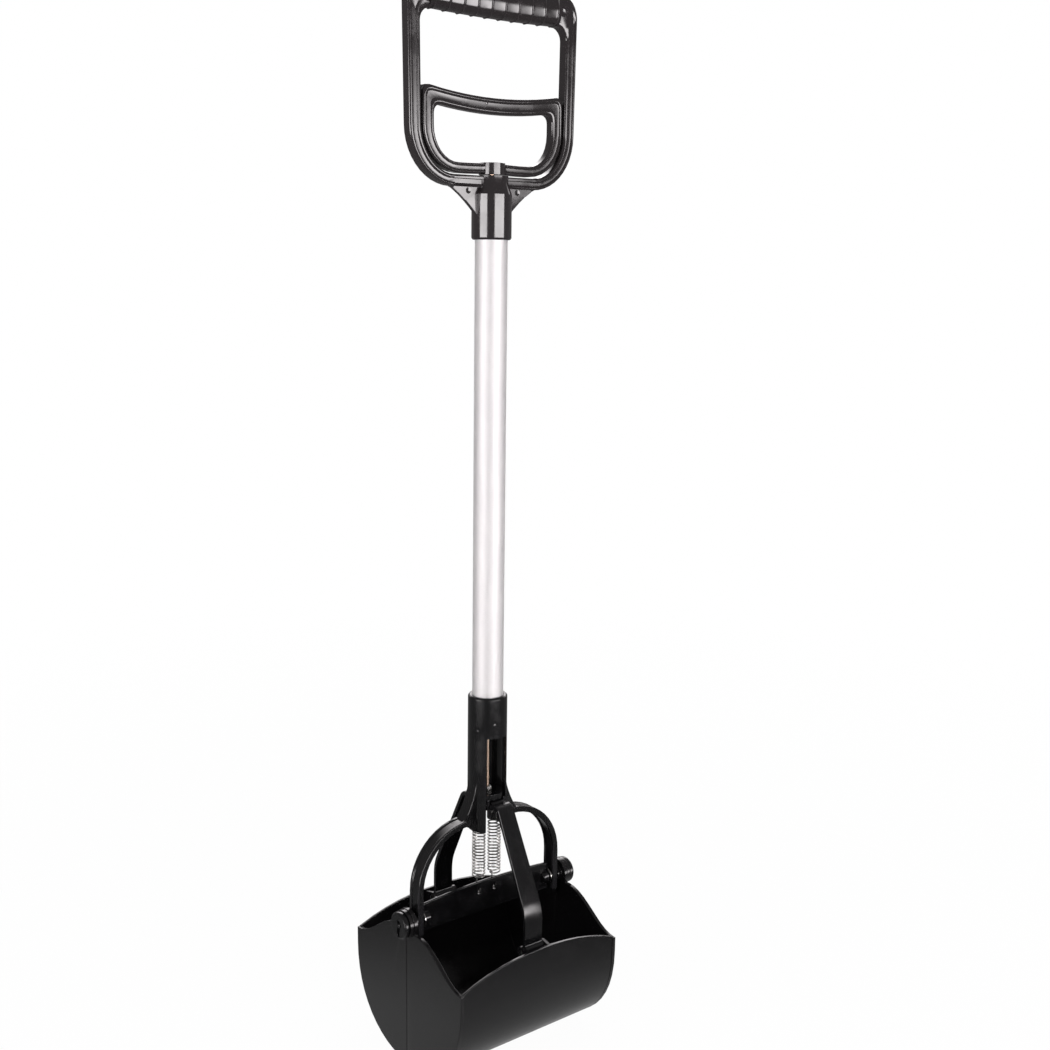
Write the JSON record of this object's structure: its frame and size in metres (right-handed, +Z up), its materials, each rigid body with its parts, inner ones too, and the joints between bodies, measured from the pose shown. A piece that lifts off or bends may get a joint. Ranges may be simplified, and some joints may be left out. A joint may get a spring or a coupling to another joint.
{
  "type": "pooper scooper",
  "caption": "Long upright scoop with a D-handle and squeeze trigger on a tube; pulling the trigger swings two half-bucket jaws apart and springs close them.",
  "frame": {"origin": "on the ground under the middle of the closed jaws, below the shaft's axis", "axes": "+Z up along the shaft, +X along the jaws' hinge axis, the front jaw towards -Y"},
  "size_m": [0.1748, 0.146, 0.8378],
  "materials": {
    "handle_plastic": "black-brown moulded polypropylene with a soft sheen",
    "fork_plastic": "black moulded plastic, semi-gloss",
    "jaw_plastic": "near-black moulded plastic, glossy outside",
    "satin_aluminium": "satin anodised tube",
    "spring_steel": "bright zinc-plated steel",
    "rod_steel": "bright drawn rod with a warm tint"
  },
  "bodies": {
    "frame": {"grip_handle": "handle_plastic", "tube": "satin_aluminium", "yoke": "fork_plastic", "spring_plate": "fork_plastic", "left_hinge_pin": "fork_plastic", "right_hinge_pin": "fork_plastic", "left_pin_retainer": "spring_steel", "right_pin_retainer": "spring_steel", "left_spring": "spring_steel", "right_spring": "spring_steel"},
    "puller": {"trigger": "handle_plastic", "pull_rod": "rod_steel", "slider": "fork_plastic", "rod_lock_nut": "spring_steel", "front_link_pin": "spring_steel", "rear_link_pin": "spring_steel"},
    "front_jaw": {"front_jaw": "jaw_plastic", "front_clevis_pin": "spring_steel"},
    "rear_jaw": {"rear_jaw": "jaw_plastic", "rear_clevis_pin": "spring_steel"},
    "front_strap": {"front_strap": "fork_plastic"},
    "rear_strap": {"rear_strap": "fork_plastic"}
  },
  "joints": [
    {"name": "trigger_slide", "type": "slide", "parent": "frame", "child": "puller", "axis": [0, 0, 1], "range_m": [0, 0.045], "stiffness_N_per_m": 500, "springref_m": -0.012, "deforming": ["left_spring", "right_spring"]},
    {"name": "front_jaw_swing", "type": "hinge", "parent": "frame", "child": "front_jaw", "pos_m": [0, 0, 0.121], "axis": [-1, 0, 0], "range_deg": [0, 39.25]},
    {"name": "rear_jaw_swing", "type": "hinge", "parent": "frame", "child": "rear_jaw", "pos_m": [0, 0, 0.121], "axis": [1, 0, 0], "range_deg": [0, 39.25]},
    {"name": "front_strap_hinge", "type": "hinge", "parent": "front_jaw", "child": "front_strap", "pos_m": [0, -0.061, 0.1], "axis": [1, 0, 0], "range_deg": [0, 41.1]},
    {"name": "rear_strap_hinge", "type": "hinge", "parent": "rear_jaw", "child": "rear_strap", "pos_m": [0, 0.061, 0.1], "axis": [-1, 0, 0], "range_deg": [0, 41.1]}
  ],
  "couplings": [
    {"joint": "front_jaw_swing", "follows": "trigger_slide", "rad_per_m": 15.223},
    {"joint": "rear_jaw_swing", "follows": "trigger_slide", "rad_per_m": 15.223},
    {"joint": "front_strap_hinge", "follows": "trigger_slide", "rad_per_m": 15.941},
    {"joint": "rear_strap_hinge", "follows": "trigger_slide", "rad_per_m": 15.941}
  ]
}
